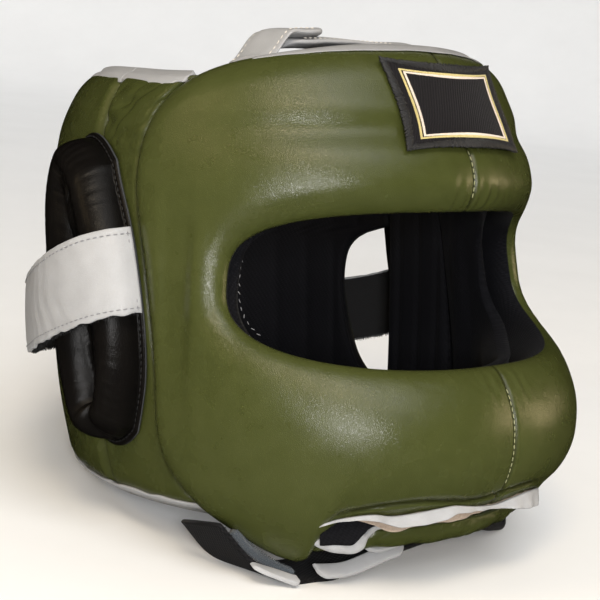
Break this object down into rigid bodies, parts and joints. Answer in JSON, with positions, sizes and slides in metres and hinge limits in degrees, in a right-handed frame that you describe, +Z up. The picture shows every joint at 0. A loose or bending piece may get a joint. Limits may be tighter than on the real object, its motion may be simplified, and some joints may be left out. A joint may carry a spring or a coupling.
{
  "type": "full face sparring headgear",
  "caption": "Padded leather sparring headgear with a bar across the face, ear pads, crown straps, a rear strap and a chin strap",
  "frame": {"origin": "middle of the object's box, on the surface that it rests on", "axes": "+Z up; the wearer looks along -Y and their left is +X"},
  "size_m": [0.2611, 0.2885, 0.2273],
  "materials": {
    "olive_leather": "semi-gloss grained leather over foam",
    "black_leather": "semi-gloss grained leather",
    "white_leather": "satin leather",
    "lining_mesh": "matte padded mesh",
    "webbing": "woven webbing",
    "loop_tape": "fuzzy loop tape",
    "patch_twill": "plain twill with an overlocked edge"
  },
  "bodies": {
    "root": {"face_shell": "olive_leather", "face_lining": "lining_mesh", "side_panel_right": "olive_leather", "side_panel_left": "olive_leather", "rear_panel": "olive_leather", "side_lining_right": "lining_mesh", "side_lining_left": "lining_mesh", "rear_lining": "lining_mesh", "ear_pad_right": "black_leather", "ear_pad_left": "black_leather", "rear_strap_backing": "webbing", "rear_strap": "white_leather", "crown_strap_right": "white_leather", "crown_strap_left": "white_leather", "rim_binding_front": "white_leather", "side_rim_binding_right": "white_leather", "side_rim_binding_left": "white_leather", "side_hem_binding_right": "white_leather", "side_hem_binding_left": "white_leather", "rear_rim_binding": "white_leather", "nape_binding": "white_leather", "bar_binding": "white_leather", "chin_cup": "olive_leather", "chin_lining": "lining_mesh", "chin_cup_binding": "white_leather", "chin_strap": "webbing", "chin_strap_tape": "loop_tape", "chin_tab_right": "white_leather", "chin_tab_middle": "white_leather", "forehead_patch": "patch_twill"}
  },
  "joints": []
}
